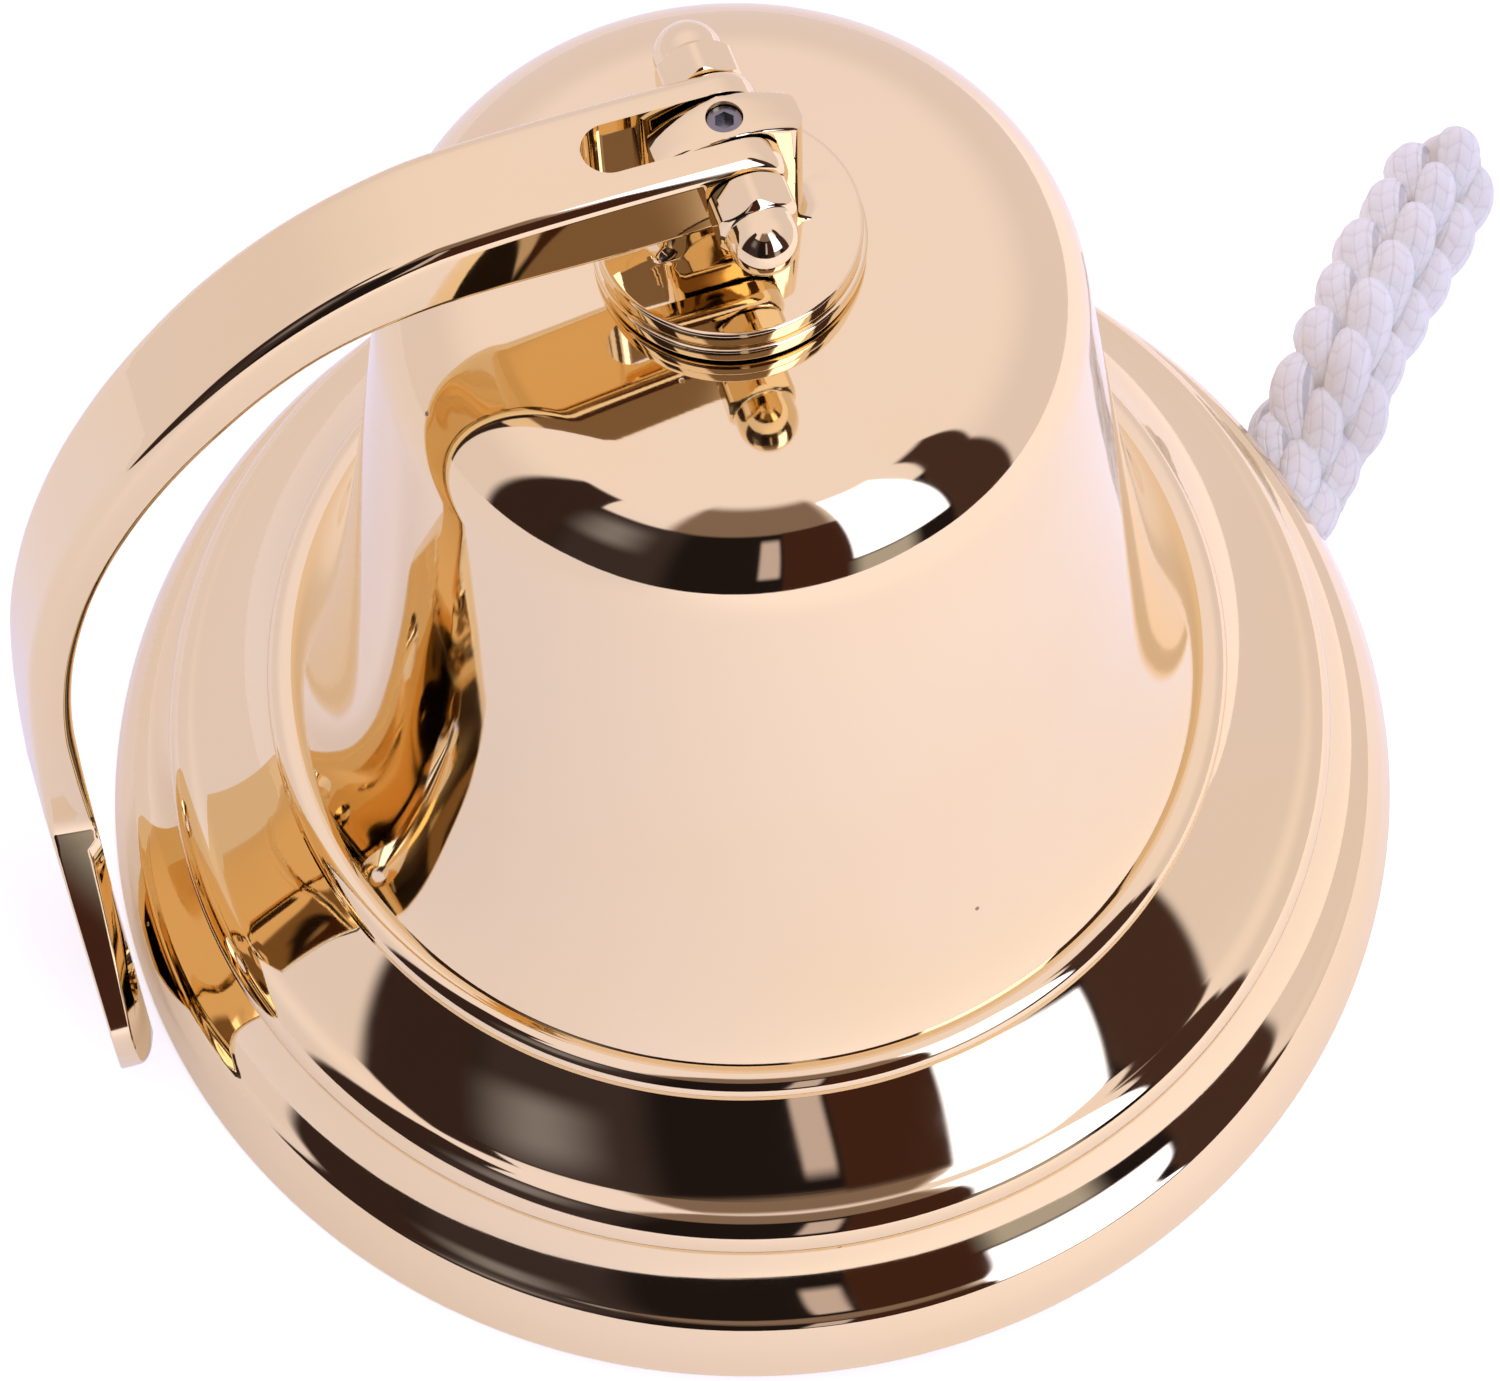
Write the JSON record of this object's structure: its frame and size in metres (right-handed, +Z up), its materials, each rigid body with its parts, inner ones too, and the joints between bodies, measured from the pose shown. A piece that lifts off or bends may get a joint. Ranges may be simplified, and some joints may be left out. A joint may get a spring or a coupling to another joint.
{
  "type": "ship bell",
  "caption": "Polished brass ship's bell with a folding wall bracket, domed cap nuts on its cross pin, a hung clapper and a braided cotton lanyard.",
  "frame": {"origin": "middle of the footprint of the bell and bracket, on the surface the bell stands on; the lanyard is left out of that box", "axes": "+Z up, +X away from the wall bracket, -Y towards the side the near cap nut is on"},
  "size_m": [0.3426, 0.305, 0.2449],
  "materials": {
    "polished_bell_brass": "mirror polished, lacquered",
    "polished_bracket_brass": "mirror polished casting",
    "polished_hardware_brass": "mirror polished, turned",
    "turned_brass": "turned, lightly tarnished",
    "plain_brass": "as turned, dull",
    "shackle_brass": "tumbled",
    "steel_set_screw": "dull, recessed hexagon",
    "split_pin_wire": "drawn wire",
    "cotton_rope": "braided natural cotton",
    "cotton_cord": "braided natural cotton"
  },
  "bodies": {
    "bell_body": {"bell": "polished_bell_brass", "crown_washer": "polished_hardware_brass", "hanger_lug": "polished_hardware_brass", "lug_set_screw": "steel_set_screw", "pivot_pin": "polished_hardware_brass", "acorn_nut_near": "polished_hardware_brass", "acorn_nut_far": "polished_hardware_brass", "inner_washer": "plain_brass", "crown_nut": "plain_brass", "clapper_stud": "plain_brass", "clapper_pin": "plain_brass", "clapper_pin_washer": "plain_brass", "clapper_split_pin": "split_pin_wire", "lanyard": "cotton_rope", "lanyard_loop": "cotton_cord"},
    "bracket_body": {"bracket": "polished_bracket_brass"},
    "clapper_body": {"clapper_rod": "turned_brass", "clapper_ball": "turned_brass", "shackle_pin": "shackle_brass", "shackle_bow": "shackle_brass"}
  },
  "joints": [
    {"name": "bracket_pivot", "type": "hinge", "parent": "bell_body", "child": "bracket_body", "pos_m": [-0.00443, -0.00579, 0.23666], "axis": [-0.2893, 0.9572, 0.0099], "range_deg": [0, 110]},
    {"name": "clapper_swing", "type": "hinge", "parent": "bell_body", "child": "clapper_body", "pos_m": [-0.00126, -0.00417, 0.17299], "axis": [-0.454, 0.891, 0], "range_deg": [-34, 28], "deforming": ["lanyard", "lanyard_loop"]}
  ]
}
